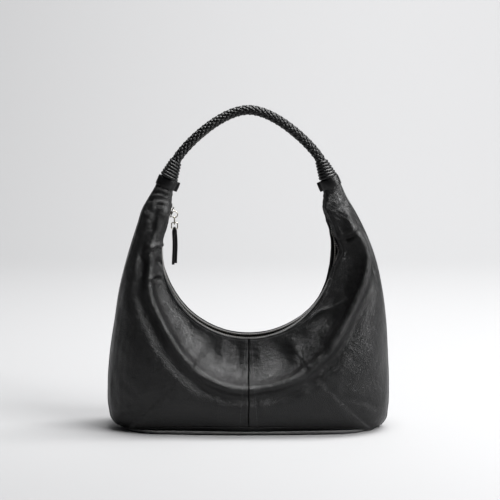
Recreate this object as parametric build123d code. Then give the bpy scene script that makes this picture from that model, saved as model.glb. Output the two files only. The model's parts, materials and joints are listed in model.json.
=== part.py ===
from build123d import *
import math
import os

# Hobo bag: a crescent of leather with a zipped mouth and a short braided handle.
# Frame: X to the right, Y to the back, Z up. The bag faces -Y.
# The origin is on the floor, in the middle of the base. All sizes are in millimetres.

# --- overall sizes ---
bag_width = 380.0
bag_depth = 125.0
neck_height = 326.0        # floor to the foot of a collar
neck_spread = 111.0        # middle of the bag to the foot of a collar
outline_rise = 8.0         # foot of a collar to the height that the sides' outline is a share of
handle_height = 428.0      # floor to the braid's centre line at its top

# --- the mouth and its zip, on a circle seen from the front ---
mouth_radius = 114.0
mouth_height = 240.0       # floor to the centre of that circle
lip_gap = 22.0             # middle plane to the outside of a lip, at the lowest point
zip_half_sweep = 121.0     # degrees from the lowest point to each end of the zip

# --- leather, lining and board ---
leather = 1.8
lining = 0.8
layer_gap = 0.5
facing_width = 25.0
board_thickness = 2.0
board_margin = 0.6
base_seam_inset = 14.0     # side of the bag to the tip of the base
facing_start = 2.2         # mouth circle to the top of a facing, just under the zip tape
tab_height = 4.5
tab_margin = 2.4           # a panel's outer face to the tab, along the neck's width
tab_corner = 0.2           # corner radius, as a share of the tab's thickness
neck_slope = 2.5           # how much higher a neck slice is at its outer edge
floor_reach = 8.0          # slices that end this far or more below a level shape its outline

# --- zip ---
tape_thickness = 0.6
tooth_pitch = 3.2
tooth_length = 1.5
tooth_width = 2.2
tooth_height = 1.8
tooth_drop = 0.5           # mouth circle to the outer face of the teeth
tooth_gap_end = 2.3        # middle plane to the middle of a tooth, at the zip's ends
tooth_gap_middle = 12.0
tape_clearance = 0.3
stop_length = 2.4
slider_length = 12.0
slider_width = 10.0
slider_plate = 1.1
slider_clearance = 0.4
slider_post = 1.6
slider_post_share = 0.35   # the post's length, as a share of the slider's
slider_lower_share = 0.9   # the lower plate, as a share of the upper one
slider_corner = 0.3        # corner radius, as a share of a plate's width
bail_radius = 4.2
bail_rise = 3.0
bail_wire = 1.3

# --- pull ---
puller_wire = 1.6
puller_length = 10.0       # between the centres of its two end bars
puller_width = 7.6
puller_corner = 1.4
puller_clearance = 0.2     # the puller's bar to the inside of the bail
link_wire = 1.5
link_length = 8.0
link_width = 8.0
link_corner = 1.5
link_clearance = 0.15
lace_thickness = 1.6
lace_width = 3.3
lace_length = 48.0
lace_clearance = 0.25
lace_knot_height = 7.0
lace_knot_depth = 3.84     # front to back
lace_knot_corner = 0.64
lace_tail_overlap = 0.5    # how much longer a tail's strip is than its free length
lace_tail_gap = 0.2

# --- handle ---
braid_diameter = 12.5
core_diameter = 8.0
crown_radius = 62.0
shoulder_spread = 92.0
shoulder_height = 370.0
shoulder_radius = 45.0
neck_pivot_height = 311.0
knuckle_radius = 7.0
knuckle_gap = 0.3
knuckle_width = 34.0
neck_width = 24.4
neck_thickness = 17.0
neck_socket = 10.0
collar_height = 13.0
collar_wall = 1.3
collar_flange = 3.4
collar_flange_root = 1.2   # how far the flange runs on into the band
collar_flange_extra = 0.6  # thickness over two walls, for the turned edges
collar_flange_corner = 0.8
collar_fit = 0.1
wrap_length = 24.0
wrap_foot_radius = 11.2
wrap_top_radius = 8.2

# --- worked out from the sizes above ---
half_width = bag_width / 2
half_depth = bag_depth / 2
braid_radius = braid_diameter / 2
neck_seat = neck_pivot_height - knuckle_radius - knuckle_gap
outline_top = neck_height + outline_rise
board_base = leather + layer_gap
board_top = board_base + board_thickness
lining_floor = board_top + layer_gap

# Each row is a slice of the bag that holds the Y direction, from the bottom to a neck:
# (angle round the mouth, outer edge as a share of the half width and of the outline's top,
#  half depth and lip as shares of the bag's half depth and lip gap).
BODY_ROWS = (
    (-13.0, -0.632, -0.048, 0.99, 1.0),
    (0.0, 0.0, -0.066, 1.0, 1.0),
    (13.0, 0.632, -0.048, 0.99, 1.0),
    (22.0, 0.926, -0.006, 0.975, 1.0),
    (30.0, 0.989, 0.084, 0.96, 1.0),
    (40.0, 0.9995, 0.24, 0.91, 0.98),
    (54.0, 0.974, 0.389, 0.80, 0.91),
    (70.0, 0.9395, 0.533, 0.66, 0.78),
    (86.0, 0.895, 0.665, 0.53, 0.64),
    (102.0, 0.832, 0.784, 0.385, 0.50),
    (121.0, 0.7385, 0.896, 0.262, 0.41),
)
BODY_SLICES = 23
# A neck goes straight up from the last row: (inner x, height, outer x) about the collar's foot.
NECK_ROWS = ((-12.2, -20.0, 25.5), (-12.0, -8.0, 19.0))
NECK_HALF_DEPTH = 7.4
NECK_LIP = 6.5
# The bulge of a slice: share of the way from lip to outer edge, share of the half depth.
BULGE_ABOVE = ((0.12, 0.38), (0.30, 0.76), (0.52, 1.0))
BULGE_BELOW = ((0.76, 0.93), (0.93, 0.60))


def mouth_point(angle, depth=0.0):
    """A point on the mouth circle, or depth outside it, as (x, z)."""
    turn = math.radians(angle)
    radius = mouth_radius + depth
    return radius * math.sin(turn), mouth_height - radius * math.cos(turn)


def round_mouth(shape, angle):
    """Turns a shape built at the mouth's lowest point to its angle round the mouth."""
    centre = Pos(0, 0, mouth_height)
    return centre * Rot(0, -angle, 0) * Pos(0, 0, -mouth_radius) * shape


def shape_at(angle):
    """The table's values at an angle, on smooth curves through its rows."""
    angles = [row[0] for row in BODY_ROWS]
    last = len(BODY_ROWS) - 1
    index = min(max(i for i, known in enumerate(angles) if known <= angle + 1e-9), last - 1)
    share = (angle - angles[index]) / (angles[index + 1] - angles[index])
    picked = [BODY_ROWS[min(max(index + step, 0), last)] for step in (-1, 0, 1, 2)]
    span = angles[index + 1] - angles[index]
    values = []
    for before, here, after, beyond in list(zip(*picked))[1:]:
        slope_here = (after - before) / (picked[2][0] - picked[0][0]) * span
        slope_after = (beyond - here) / (picked[3][0] - picked[1][0]) * span
        bend = 2 * here - 2 * after + slope_here + slope_after
        lean = 3 * after - 3 * here - 2 * slope_here - slope_after
        values.append(((bend * share + lean) * share + slope_here) * share + here)
    return values


def slice_edges():
    """The inner and outer edge, half depth and lip of each slice of the right half."""
    rows = []
    for step in range(BODY_SLICES):
        angle = zip_half_sweep * step / (BODY_SLICES - 1)
        out_x, out_z, depth, lip = shape_at(angle)
        outer = (out_x * half_width, out_z * outline_top)
        rows.append((mouth_point(angle), outer, depth * half_depth, lip * lip_gap))
    for inner_x, height, outer_x in NECK_ROWS:
        inner = (neck_spread + inner_x, neck_height + height)
        outer = (neck_spread + outer_x, neck_height + height + neck_slope)
        rows.append((inner, outer, NECK_HALF_DEPTH, NECK_LIP))
    return rows


def slice_profile(length, depth, lip):
    """Half of a slice's outline, from the lip to the outer edge, as (along, y)."""
    points = [(0.0, lip)]
    points += [(share * length, lip + (depth - lip) * bulge) for share, bulge in BULGE_ABOVE]
    points += [(share * length, depth * bulge) for share, bulge in BULGE_BELOW]
    return points + [(length, 0.0)]


def inset_profile(points, inset):
    """The outline moved inwards by inset, from the lip to the outer edge."""
    moved = [(0.0, points[0][1] - inset)]
    for before, here, after in zip(points, points[1:], points[2:]):
        along, across = after[0] - before[0], after[1] - before[1]
        size = math.hypot(along, across)
        moved.append((here[0] + inset * across / size, here[1] - inset * along / size))
    return moved + [(points[-1][0] - inset, 0.0)]


def curve_between(points, start, end):
    """The part of a smooth curve through the points between two lengths along the slice."""
    curve = Edge.make_spline([Vector(along, across, 0) for along, across in points])
    shares = [share_at(curve, start), 1.0 if end is None else share_at(curve, end)]
    steps = 6
    places = [shares[0] + (shares[1] - shares[0]) * step / steps for step in range(steps + 1)]
    return [(curve.position_at(share).X, curve.position_at(share).Y) for share in places]


def share_at(curve, length):
    """Where a curve from the lip to the outer edge reaches a length along the slice, 0 to 1."""
    low, high = 0.0, 1.0
    for _ in range(30):
        middle = (low + high) / 2
        if curve.position_at(middle).X < length:
            low = middle
        else:
            high = middle
    return low


def layer_wire(row, side, face, near, far, start=0.0, end=None):
    """A closed outline between two insets of a slice, on the front (face -1) or back (face 1)."""
    (inner_x, inner_z), (outer_x, outer_z), depth, lip = row
    length = math.hypot(outer_x - inner_x, outer_z - inner_z)
    step_x, step_z = (outer_x - inner_x) / length, (outer_z - inner_z) / length
    half = slice_profile(length, depth, lip)
    edges = []
    for inset in (near, far):
        curve = curve_between(inset_profile(half, inset), start, end)
        edges.append([
            Vector(side * (inner_x + step_x * along), face * across, inner_z + step_z * along)
            for along, across in curve
        ])
    outer, inner = edges
    return Wire([
        Edge.make_spline(outer),
        Edge.make_line(outer[-1], inner[-1]),
        Edge.make_spline(inner[::-1]),
        Edge.make_line(inner[0], outer[0]),
    ])


def ruled_loft(wires):
    """A solid through closed outlines, straight from each one to the next."""
    return Solid.make_loft(wires, ruled=True)


def cut_level(shape, bottom, top):
    """The part of a shape between two heights."""
    room = 2 * bag_width
    return shape & Pos(0, 0, (bottom + top) / 2) * Box(room, room, top - bottom)


def both_sides(rows):
    """Every slice from the right neck to the left one, each with its side."""
    return [(row, 1) for row in reversed(rows)] + [(row, -1) for row in rows[1:]]


def floor_outline(inset, level):
    """The bag's outline at a height, moved inwards by inset, as a face on the floor plane."""
    right = []
    for (inner_x, inner_z), (outer_x, outer_z), depth, lip in slice_edges()[:BODY_SLICES]:
        length = math.hypot(outer_x - inner_x, outer_z - inner_z)
        if outer_z > level - floor_reach:
            break
        profile = slice_profile(length, depth, lip)
        curve = Edge.make_spline([Vector(along, across, 0) for along, across in profile])
        along = (inner_z - level) / (inner_z - outer_z) * length
        across = curve.position_at(share_at(curve, along)).Y
        right.append((inner_x + (outer_x - inner_x) * along / length, across - inset))
    tip = (half_width - base_seam_inset - inset, 0.0)
    back = [(-x, y) for x, y in reversed(right[1:])] + right
    back = [(-tip[0], 0.0)] + back + [tip]
    front = [(x, -y) for x, y in reversed(back)]
    return make_face([Spline(*back), Spline(*front)])


def make_panels():
    """The four leather panels, the tabs in their necks and the base between them."""
    rows = slice_edges()
    form = ruled_loft([layer_wire(row, 1, -1, 0.0, leather) for row in rows])
    front_right = cut_level(form, 0.0, neck_seat)
    back_right = mirror(front_right, about=Plane.XZ)
    front_left = mirror(front_right, about=Plane.YZ)
    back_left = mirror(back_right, about=Plane.YZ)
    tab = make_tab()
    base = extrude(floor_outline(leather / 2, 0.0), leather)
    base = base - front_right - back_right - front_left - back_left
    base = max(base.solids(), key=lambda solid: solid.volume)
    return {
        "front_right_panel": front_right,
        "back_right_panel": back_right,
        "front_left_panel": front_left,
        "back_left_panel": back_left,
        "right_neck_tab": tab,
        "left_neck_tab": mirror(tab, about=Plane.YZ),
        "base_panel": base,
    }


def make_tab():
    """The handle's leather tab, sewn between the panels at the top of the right neck."""
    (inner_x, _), (outer_x, _), _, _ = slice_edges()[BODY_SLICES]
    width = outer_x - inner_x - 2 * tab_margin
    thickness = 2 * (NECK_LIP - leather - layer_gap / 2)
    middle = (inner_x + outer_x) / 2
    shape = RectangleRounded(width, thickness, tab_corner * thickness)
    return extrude(Pos(middle, 0, neck_seat - tab_height) * shape, tab_height)


def make_inside():
    """The board, and the lining and facings that hang inside the leather."""
    rows = both_sides(slice_edges()[:BODY_SLICES])
    near = leather + layer_gap
    far = near + lining
    board_outline = floor_outline(near + board_margin, board_base)
    board = extrude(Pos(0, 0, board_base) * board_outline, board_thickness)
    pieces = {"base_board": board}
    for name, face in (("front", -1), ("back", 1)):
        strip = [layer_wire(row, side, face, near, far, facing_start, facing_width) for row, side in rows]
        cloth_start = facing_width + layer_gap
        cloth = [layer_wire(row, side, face, near, far, cloth_start) for row, side in rows]
        pieces[f"{name}_facing"] = ruled_loft(strip)
        pieces[f"{name}_lining"] = cut_level(ruled_loft(cloth), lining_floor, neck_seat)
    return pieces


def tooth_gap(angle):
    """Middle plane to the middle of a tooth, at an angle round the mouth."""
    share = math.cos(math.radians(90 * angle / zip_half_sweep)) ** 2
    return tooth_gap_end + (tooth_gap_middle - tooth_gap_end) * share


def tape_wire(step, side, face):
    """The tape's outline across one slice, from the teeth to the facing."""
    angle = zip_half_sweep * step / (BODY_SLICES - 1)
    lip = shape_at(angle)[3] * lip_gap
    middle = tooth_drop + tooth_height / 2
    start = tooth_gap(angle) + tooth_width / 2 + tape_clearance
    end = lip - leather - layer_gap
    corners = []
    for depth, y in ((-0.5, start), (-0.5, end), (0.5, end), (0.5, start)):
        x, z = mouth_point(angle, middle + depth * tape_thickness)
        corners.append(Vector(side * x, face * y, z))
    return Wire.make_polygon(corners, close=True)


def make_tapes():
    """The two zip tapes, from the facings to the edge that the teeth sit on."""
    steps = both_sides(list(range(BODY_SLICES)))
    tapes = {}
    for name, face in (("front", -1), ("back", 1)):
        wires = [tape_wire(step, side, face) for step, side in steps]
        tapes[f"{name}_zip_tape"] = ruled_loft(wires)
    return tapes


def make_teeth(side):
    """One row of teeth, each a small block at its place round the mouth."""
    pitch_angle = math.degrees(tooth_pitch / mouth_radius)
    stop_angle = math.degrees(stop_length / mouth_radius)
    last = zip_half_sweep - 1.5 * stop_angle
    count = int(2 * last / pitch_angle)
    teeth = []
    for index in range(count + 1):
        angle = (index - count / 2) * pitch_angle
        block = Box(tooth_length, tooth_width, tooth_height)
        middle = -tooth_drop - tooth_height / 2
        teeth.append(round_mouth(Pos(0, side * tooth_gap(angle), middle) * block, angle))
    return Compound(children=teeth)


def stop_angle_from_end():
    """How far a stop's middle stands from the end of the zip, in degrees."""
    return math.degrees(stop_length / 2 / mouth_radius)


def make_stops():
    """One bar across both rows at the closed end, and a block on each row at the other."""
    middle = -tooth_drop - tooth_height / 2
    bottom_angle = -zip_half_sweep + stop_angle_from_end()
    bottom_width = 2 * tooth_gap(bottom_angle) + tooth_width
    bottom = Pos(0, 0, middle) * Box(stop_length, bottom_width, tooth_height)
    tops = []
    for side in (-1, 1):
        block = Pos(0, side * tooth_gap(-bottom_angle), middle)
        block = block * Box(stop_length, tooth_width, tooth_height)
        tops.append(round_mouth(block, -bottom_angle))
    return {
        "zip_bottom_stop": round_mouth(bottom, bottom_angle),
        "zip_top_stops": Compound(children=tops),
    }


def slider_rest_angle():
    """The slider's angle when it stands against the bottom stop."""
    reach = stop_length + slider_clearance + slider_length / 2
    return -zip_half_sweep + math.degrees(reach / mouth_radius)


def slider_plate_solid(length, width):
    """A flat plate with rounded corners, its lower face at zero."""
    outline = RectangleRounded(length, width, slider_corner * width)
    return extrude(outline, slider_plate)


def make_slider():
    """Two plates, the post between them and the bail over the top, at the mouth's lowest point."""
    upper_foot = slider_clearance - tooth_drop
    lower_foot = -tooth_drop - tooth_height - slider_clearance - slider_plate
    upper = Pos(0, 0, upper_foot) * slider_plate_solid(slider_length, slider_width)
    lower = Pos(0, 0, lower_foot) * slider_plate_solid(
        slider_lower_share * slider_length, slider_lower_share * slider_width)
    post_height = upper_foot - lower_foot
    post = Box(slider_post_share * slider_length, slider_post, post_height)
    post = Pos(0, 0, lower_foot + post_height / 2) * post
    bail_foot = upper_foot + slider_plate
    arch = Pos(0, 0, bail_foot + bail_rise) * Rot(90, 0, 0) * Torus(bail_radius, bail_wire / 2)
    upper_room = Pos(0, 0, bail_foot + bail_rise + 2 * bail_radius)
    arch = arch & upper_room * Box(4 * bail_radius, 4 * bail_radius, 4 * bail_radius)
    body = upper + lower + post + arch
    for side in (-1, 1):
        leg = Cylinder(bail_wire / 2, bail_rise + slider_plate / 2)
        body += Pos(side * bail_radius, 0, bail_foot + bail_rise / 2 - slider_plate / 4) * leg
    return round_mouth(body, slider_rest_angle())


def puller_pivot():
    """Where the puller's bar hangs in the bail, as (x, z)."""
    turn = math.radians(slider_rest_angle())
    reach = bail_radius - bail_wire / 2 - puller_wire / 2 - puller_clearance
    height = slider_clearance - tooth_drop + slider_plate + bail_rise
    centre_x = (mouth_radius - height) * math.sin(turn)
    centre_z = mouth_height - (mouth_radius - height) * math.cos(turn)
    return centre_x, centre_z - reach


def wire_loop(length, width, wire, corner):
    """A closed loop of round wire in the plane of its length (-Z) and width (X)."""
    outline = Pos(0, 0, -length / 2) * Rot(90, 0, 0) * RectangleRounded(width, length, corner)
    path = outline.wires()[0]
    section = Plane(path.position_at(0), z_dir=path.tangent_at(0)) * Circle(wire / 2)
    return sweep(section, path=path)


def make_pull():
    """The puller, the link and the lace, hanging straight down one from another."""
    pivot_x, pivot_z = puller_pivot()
    puller = Pos(pivot_x, 0, pivot_z) * Rot(0, 0, 90) * wire_loop(
        puller_length, puller_width, puller_wire, puller_corner)
    bar_z = pivot_z - puller_length
    link_top = bar_z + (puller_wire + link_wire) / 2 + link_clearance
    link = Pos(pivot_x, 0, link_top) * wire_loop(
        link_length, link_width, link_wire, link_corner)
    lace_z = link_top - link_length
    return {
        "zip_puller": puller,
        "pull_link": link,
        "pull_lace": Pos(pivot_x, 0, lace_z) * lace_solid(),
    }


def lace_solid():
    """A folded lace: an eye round the link, a knot under it and two flat tails."""
    eye_inner = link_wire / 2 + lace_clearance
    eye_outer = eye_inner + lace_thickness
    eye = Rot(0, 90, 0) * (Cylinder(eye_outer, lace_width) - Cylinder(eye_inner, lace_width))
    knot_width = 2 * lace_width + lace_tail_gap
    knot_top = -eye_inner - lace_thickness / 2
    knot = Pos(0, 0, knot_top - lace_knot_height / 2)
    knot = knot * Box(knot_width, lace_knot_depth, lace_knot_height)
    knot = fillet(knot.edges().filter_by(Axis.X), lace_knot_corner)
    lace = eye + knot
    tail_length = lace_length + knot_top - lace_knot_height
    for side in (-1, 1):
        place = Pos(side * (lace_width + lace_tail_gap) / 2, 0, -lace_length + tail_length / 2)
        lace += place * Box(lace_width, lace_thickness, tail_length + lace_tail_overlap)
    return lace


def handle_path():
    """The braid's centre line: two straight legs, two shoulders and a round crown."""
    crown_centre = handle_height - crown_radius
    rise = crown_centre - shoulder_height
    reach = math.hypot(shoulder_spread, rise)
    slope = math.atan2(rise, shoulder_spread) + math.asin(crown_radius / reach)
    corner_height = shoulder_height + shoulder_spread * math.tan(slope)
    foot_x, foot_z = leg_point(collar_height - neck_socket + collar_fit)
    points = [
        (-foot_x, 0, foot_z),
        (-shoulder_spread, 0, shoulder_height),
        (0, 0, corner_height),
        (shoulder_spread, 0, shoulder_height),
        (foot_x, 0, foot_z),
    ]
    return FilletPolyline(*points, radius=[shoulder_radius, crown_radius, shoulder_radius])


def leg_direction():
    """The way a handle's leg leans inwards from the collar's foot, as (x, z)."""
    along_x = shoulder_spread - neck_spread
    along_z = shoulder_height - neck_height
    size = math.hypot(along_x, along_z)
    return along_x / size, along_z / size


def leg_point(distance):
    """A point on the right leg, distance above the collar's foot, as (x, z)."""
    step_x, step_z = leg_direction()
    return neck_spread + step_x * distance, neck_height + step_z * distance


def leg_plane(distance):
    """The plane across the right leg, distance above the collar's foot."""
    x, z = leg_point(distance)
    step_x, step_z = leg_direction()
    return Plane((x, 0, z), x_dir=(step_z, 0, -step_x), z_dir=(step_x, 0, step_z))


def tube_along(path, outer, inner=0.0):
    """A round tube, or a rod with inner 0, along a path."""
    start = Plane(path.position_at(0), z_dir=path.tangent_at(0))
    rod = sweep(start * Circle(outer / 2), path=path)
    if not inner:
        return rod
    return rod - sweep(start * Circle(inner / 2), path=path)


def make_neck():
    """The right neck: a knuckle at its pivot, narrowing to an oval with the braid's socket."""
    pivot_x = neck_spread + (neck_pivot_height - neck_height) * leg_direction()[0] / leg_direction()[1]
    foot = Plane((pivot_x, 0, neck_pivot_height)) * Ellipse(knuckle_width / 2, knuckle_radius)
    oval = Ellipse(neck_width / 2, neck_thickness / 2)
    body = loft([foot, leg_plane(0) * oval])
    body += extrude(leg_plane(0) * oval, collar_height)
    knuckle = Rot(0, 90, 0) * Cylinder(knuckle_radius, knuckle_width)
    body += Pos(pivot_x, 0, neck_pivot_height) * knuckle
    socket_plane = leg_plane(collar_height - neck_socket)
    socket = extrude(socket_plane * Circle(braid_radius + collar_fit), 2 * neck_socket)
    return body - socket


def make_collar():
    """The right collar: a leather band round the neck, its ends sewn in a small flange."""
    inner = Ellipse(neck_width / 2 + collar_fit, neck_thickness / 2 + collar_fit)
    outer_x = neck_width / 2 + collar_fit + collar_wall
    outer = Ellipse(outer_x, neck_thickness / 2 + collar_fit + collar_wall)
    band = extrude(leg_plane(0) * outer, collar_height)
    flange_length = collar_flange + collar_flange_root
    flange_thickness = 2 * collar_wall + collar_flange_extra
    flange_shape = RectangleRounded(flange_length, flange_thickness, collar_flange_corner)
    flange_shape = Pos(collar_flange_root - outer_x - flange_length / 2, 0) * flange_shape
    flange = extrude(leg_plane(0) * flange_shape, collar_height)
    return band + flange - extrude(leg_plane(0) * inner, collar_height)


def make_wrap():
    """The right wrap: a lace wound round the braid's foot in a cone of turns."""
    plane = leg_plane(collar_height)
    cone = loft([
        plane * Circle(wrap_foot_radius),
        leg_plane(collar_height + wrap_length) * Circle(wrap_top_radius),
    ])
    return cone - extrude(plane * Circle(braid_radius + collar_fit), 2 * wrap_length)


def make_handle():
    """The handle's core and braid, and its necks, collars and wraps on both sides."""
    path = handle_path()
    pieces = {
        "handle_core": tube_along(path, core_diameter),
        "handle_braid": tube_along(path, braid_diameter, core_diameter),
    }
    for name, right in (("neck", make_neck()), ("collar", make_collar()), ("wrap", make_wrap())):
        pieces[f"right_{name}"] = right
        pieces[f"left_{name}"] = mirror(right, about=Plane.YZ)
    return pieces


def make_all():
    """Every sub-part by its name."""
    parts = {}
    parts.update(make_panels())
    parts.update(make_inside())
    parts.update(make_tapes())
    parts["front_zip_teeth"] = make_teeth(-1)
    parts["back_zip_teeth"] = make_teeth(1)
    parts.update(make_stops())
    parts["zip_slider"] = make_slider()
    parts.update(make_pull())
    parts.update(make_handle())
    return parts


os.makedirs("parts", exist_ok=True)
for node, shape in make_all().items():
    export_step(shape, f"parts/{node}.step")
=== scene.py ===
# %% [markdown]
# # A soft leather hobo bag
# The bag is a crescent of soft black leather with an open zip along its curved mouth and a short plaited
# handle. The fixed frame holds the sizes, the joints and the metal parts. This lesson adds the soft shapes
# and the finishes around it, in metres, with every piece in the place that the frame gives.

# %% Load the frame
import json
import math
import bpy
import bmesh
import numpy as np
from mathutils import Matrix, Vector


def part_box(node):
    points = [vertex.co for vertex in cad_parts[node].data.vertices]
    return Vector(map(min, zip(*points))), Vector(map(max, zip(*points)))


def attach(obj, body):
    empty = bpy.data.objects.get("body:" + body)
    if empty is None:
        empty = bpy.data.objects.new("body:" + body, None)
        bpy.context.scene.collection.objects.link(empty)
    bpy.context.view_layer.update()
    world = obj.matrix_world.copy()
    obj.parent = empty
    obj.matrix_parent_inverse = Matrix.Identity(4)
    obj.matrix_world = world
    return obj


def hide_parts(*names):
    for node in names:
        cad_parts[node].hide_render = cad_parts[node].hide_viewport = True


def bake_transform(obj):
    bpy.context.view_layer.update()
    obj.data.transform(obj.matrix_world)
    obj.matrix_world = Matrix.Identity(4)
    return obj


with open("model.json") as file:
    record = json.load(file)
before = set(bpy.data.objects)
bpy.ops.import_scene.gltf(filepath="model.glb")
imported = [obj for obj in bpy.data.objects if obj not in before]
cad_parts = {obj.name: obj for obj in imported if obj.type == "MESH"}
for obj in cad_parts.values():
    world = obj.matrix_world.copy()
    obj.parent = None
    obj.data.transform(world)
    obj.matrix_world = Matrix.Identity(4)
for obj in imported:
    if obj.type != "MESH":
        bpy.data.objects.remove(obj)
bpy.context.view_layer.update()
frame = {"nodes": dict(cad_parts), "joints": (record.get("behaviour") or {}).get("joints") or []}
MM = 0.001
print("nodes:", len(frame["nodes"]))

# %% [markdown]
# ## Sizes that everything shares
# The mouth is a circle seen from the front. Its centre is the pivot that the zip slider travels about, and
# its radius comes from the lowest tooth. All later sizes are in millimetres until a mesh is made.

# %% Mouth, body and handle sizes
JOINTS = {joint["name"]: joint for joint in frame["joints"]}


def box_mm(node):
    """The lowest and highest corner of a frame node, in millimetres."""
    low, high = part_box(node)
    return np.array(low) / MM, np.array(high) / MM


TOOTH_DEPTH = 2.3                      # mouth circle to the inner face of a tooth
MOUTH_HEIGHT = JOINTS["slider_travel"]["pos_m"][2] / MM
MOUTH_RADIUS = MOUTH_HEIGHT - box_mm("front_zip_teeth")[0][2] - TOOTH_DEPTH
HALF_WIDTH = box_mm("front_right_panel")[1][0]
ZIP_SWEEP = math.radians(121.0)
COLLAR_FOOT = np.array([111.0, 326.0])
LEG_LEAN = np.array([-0.3964, 0.9181])
BRAID_RADIUS = 6.25
HANDLE_TOP = box_mm("handle_braid")[1][2] - BRAID_RADIUS
SIDES = {"left": -1, "right": 1}
FACES = {"front": -1, "back": 1}
print("mouth radius", round(MOUTH_RADIUS, 2), "height", round(MOUTH_HEIGHT, 2))
print("handle top", round(HANDLE_TOP, 2))

# %% [markdown]
# ## Mesh helpers
# Soft goods are grids of points: a row of stations along the mouth, and a column of points from the lip to
# the outer edge. A grid becomes a closed shell when its inner copy is joined to it round the rim.

# %% Grid and object helpers


def make_object(name, vertices, faces, material):
    """A smooth mesh object in the scene, from points in millimetres."""
    mesh = bpy.data.meshes.new(name)
    mesh.from_pydata((np.asarray(vertices) * MM).tolist(), [], [list(face) for face in faces])
    mesh.materials.append(material)
    mesh.polygons.foreach_set("use_smooth", [True] * len(mesh.polygons))
    mesh.update()
    piece = bpy.data.objects.new(name, mesh)
    bpy.context.scene.collection.objects.link(piece)
    return piece


def grid_faces(rows, columns, offset=0, wrap=False):
    """Quads of a rows by columns grid of points. With wrap, the last column joins the first."""
    steps = columns if wrap else columns - 1
    row, column = np.meshgrid(np.arange(rows - 1), np.arange(steps), indexing="ij")
    after = (column + 1) % columns
    low = row * columns
    high = low + columns
    corners = [low + column, low + after, high + after, high + column]
    return (np.stack(corners, axis=-1).reshape(-1, 4) + offset).tolist()


def grid_normals(points):
    """Unit normals of a grid of points, from its two directions."""
    along = np.gradient(points, axis=0)
    across = np.gradient(points, axis=1)
    normals = np.cross(along, across)
    return normals / np.maximum(np.linalg.norm(normals, axis=2, keepdims=True), 1e-9)


def shell_faces(rows, columns):
    """Faces of a closed shell from an outer grid followed by an inner one of the same size."""
    count = rows * columns
    outer = grid_faces(rows, columns)
    inner = [face[::-1] for face in grid_faces(rows, columns, count)]
    ring = [(0, column) for column in range(columns)]
    ring += [(row, columns - 1) for row in range(1, rows)]
    ring += [(rows - 1, column) for column in range(columns - 2, -1, -1)]
    ring += [(row, 0) for row in range(rows - 2, 0, -1)]
    index = [row * columns + column for row, column in ring]
    rim = [(b, a, a + count, b + count) for a, b in zip(index, index[1:] + index[:1])]
    return outer + inner + rim


def outward(piece):
    """Merges doubles and turns every face of a closed piece outwards."""
    mesh = bmesh.new()
    mesh.from_mesh(piece.data)
    bmesh.ops.remove_doubles(mesh, verts=mesh.verts, dist=0.00002)
    bmesh.ops.recalc_face_normals(mesh, faces=mesh.faces)
    if mesh.calc_volume(signed=True) < 0:
        bmesh.ops.reverse_faces(mesh, faces=mesh.faces)
    mesh.to_mesh(piece.data)
    mesh.free()
    return piece


def through(values, known, wanted):
    """Smooth curve through known values, read at the wanted places."""
    known = np.asarray(known, float)
    values = np.asarray(values, float)
    wanted = np.clip(wanted, known[0], known[-1])
    slopes = np.gradient(values, known, axis=0)
    index = np.clip(np.searchsorted(known, wanted, side="right") - 1, 0, len(known) - 2)
    span = known[index + 1] - known[index]
    share = (wanted - known[index]) / span
    low, high = values[index], values[index + 1]
    rise_low, rise_high = slopes[index] * span, slopes[index + 1] * span
    bend = 2 * low - 2 * high + rise_low + rise_high
    lean = 3 * high - 3 * low - 2 * rise_low - rise_high
    return ((bend * share + lean) * share + rise_low) * share + low


def shell_object(name, outer, inner, material):
    """A closed shell from its outer and inner grids of points."""
    vertices = np.concatenate([outer.reshape(-1, 3), inner.reshape(-1, 3)])
    return outward(make_object(name, vertices, shell_faces(*outer.shape[:2]), material))


print("helpers ready")

# %% [markdown]
# ## Finishes
# Black leather is never one flat black. The grain is a small cell pattern, the sheen comes from the gloss
# on it, and worn or stretched places are a little smoother. Every finish reads Object coordinates, so it
# stays fixed to its piece.

# %% Material helpers


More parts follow.
